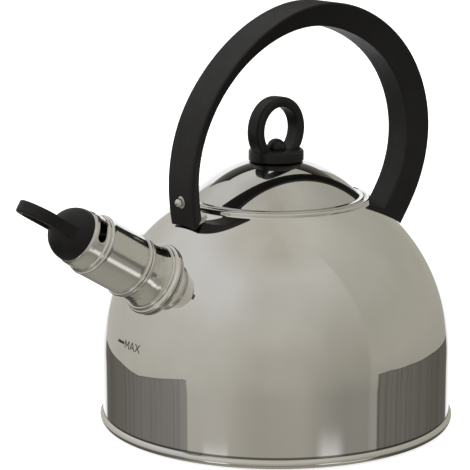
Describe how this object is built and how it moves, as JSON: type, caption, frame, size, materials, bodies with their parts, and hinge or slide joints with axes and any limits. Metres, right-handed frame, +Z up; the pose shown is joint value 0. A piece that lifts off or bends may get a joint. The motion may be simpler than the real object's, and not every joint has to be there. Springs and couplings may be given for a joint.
{
  "type": "stovetop whistling kettle",
  "caption": "Stovetop kettle with a domed polished steel body, lift-off lid with a ring knob, arched black handle, and a pull-off whistle cap on a short slanted spout.",
  "frame": {"origin": "centre of the flat underside of the capsule base, on the body's axis", "axes": "+Z up along the body's axis, -X towards the spout and whistle, +X towards the rear of the handle, Y across the handle"},
  "size_m": [0.2823, 0.21, 0.2455],
  "materials": {
    "polished_steel": "mirror-polished stainless steel",
    "brushed_steel": "circular-brushed stainless steel",
    "bracket_steel": "fine-brushed stainless steel",
    "rivet_steel": "tumbled stainless steel",
    "spring_steel": "hardened stainless spring strip",
    "aluminium_core": "pressed aluminium, sealed in the base",
    "black_phenolic": "satin black moulded phenolic resin"
  },
  "bodies": {
    "kettle": {"body_shell": "polished_steel", "base_pan": "polished_steel", "heat_spreader": "aluminium_core", "base_capsule": "brushed_steel", "spout_neck": "polished_steel", "spout_flange": "polished_steel", "bracket_front": "bracket_steel", "bracket_rear": "bracket_steel", "handle_grip": "black_phenolic", "handle_rivets": "rivet_steel", "handle_washers": "rivet_steel"},
    "lid": {"lid_shell": "polished_steel", "lid_skirt": "polished_steel", "knob_heat_washer": "black_phenolic", "knob_disc": "black_phenolic", "knob_ring": "black_phenolic", "knob_dome_nut": "black_phenolic", "lid_screw": "rivet_steel", "lid_screw_washer": "rivet_steel"},
    "whistle_clip": {"whistle_spring_clip": "spring_steel"},
    "whistle": {"whistle_sleeve": "polished_steel", "whistle_cap": "black_phenolic", "whistle_spigot": "bracket_steel", "whistle_disc_inner": "bracket_steel", "whistle_disc_outer": "bracket_steel", "whistle_rivet": "rivet_steel"}
  },
  "joints": [
    {"name": "lid_lift", "type": "slide", "parent": "kettle", "child": "lid", "axis": [0, 0, 1], "range_m": [0, 0.03]},
    {"name": "whistle_pull", "type": "slide", "parent": "kettle", "child": "whistle_clip", "axis": [-0.8499, 0, 0.527], "range_m": [0, 0.045]},
    {"name": "whistle_turn", "type": "hinge", "parent": "whistle_clip", "child": "whistle", "pos_m": [-0.0916, 0, 0.0989], "axis": [-0.8499, 0, 0.527], "continuous": true}
  ]
}
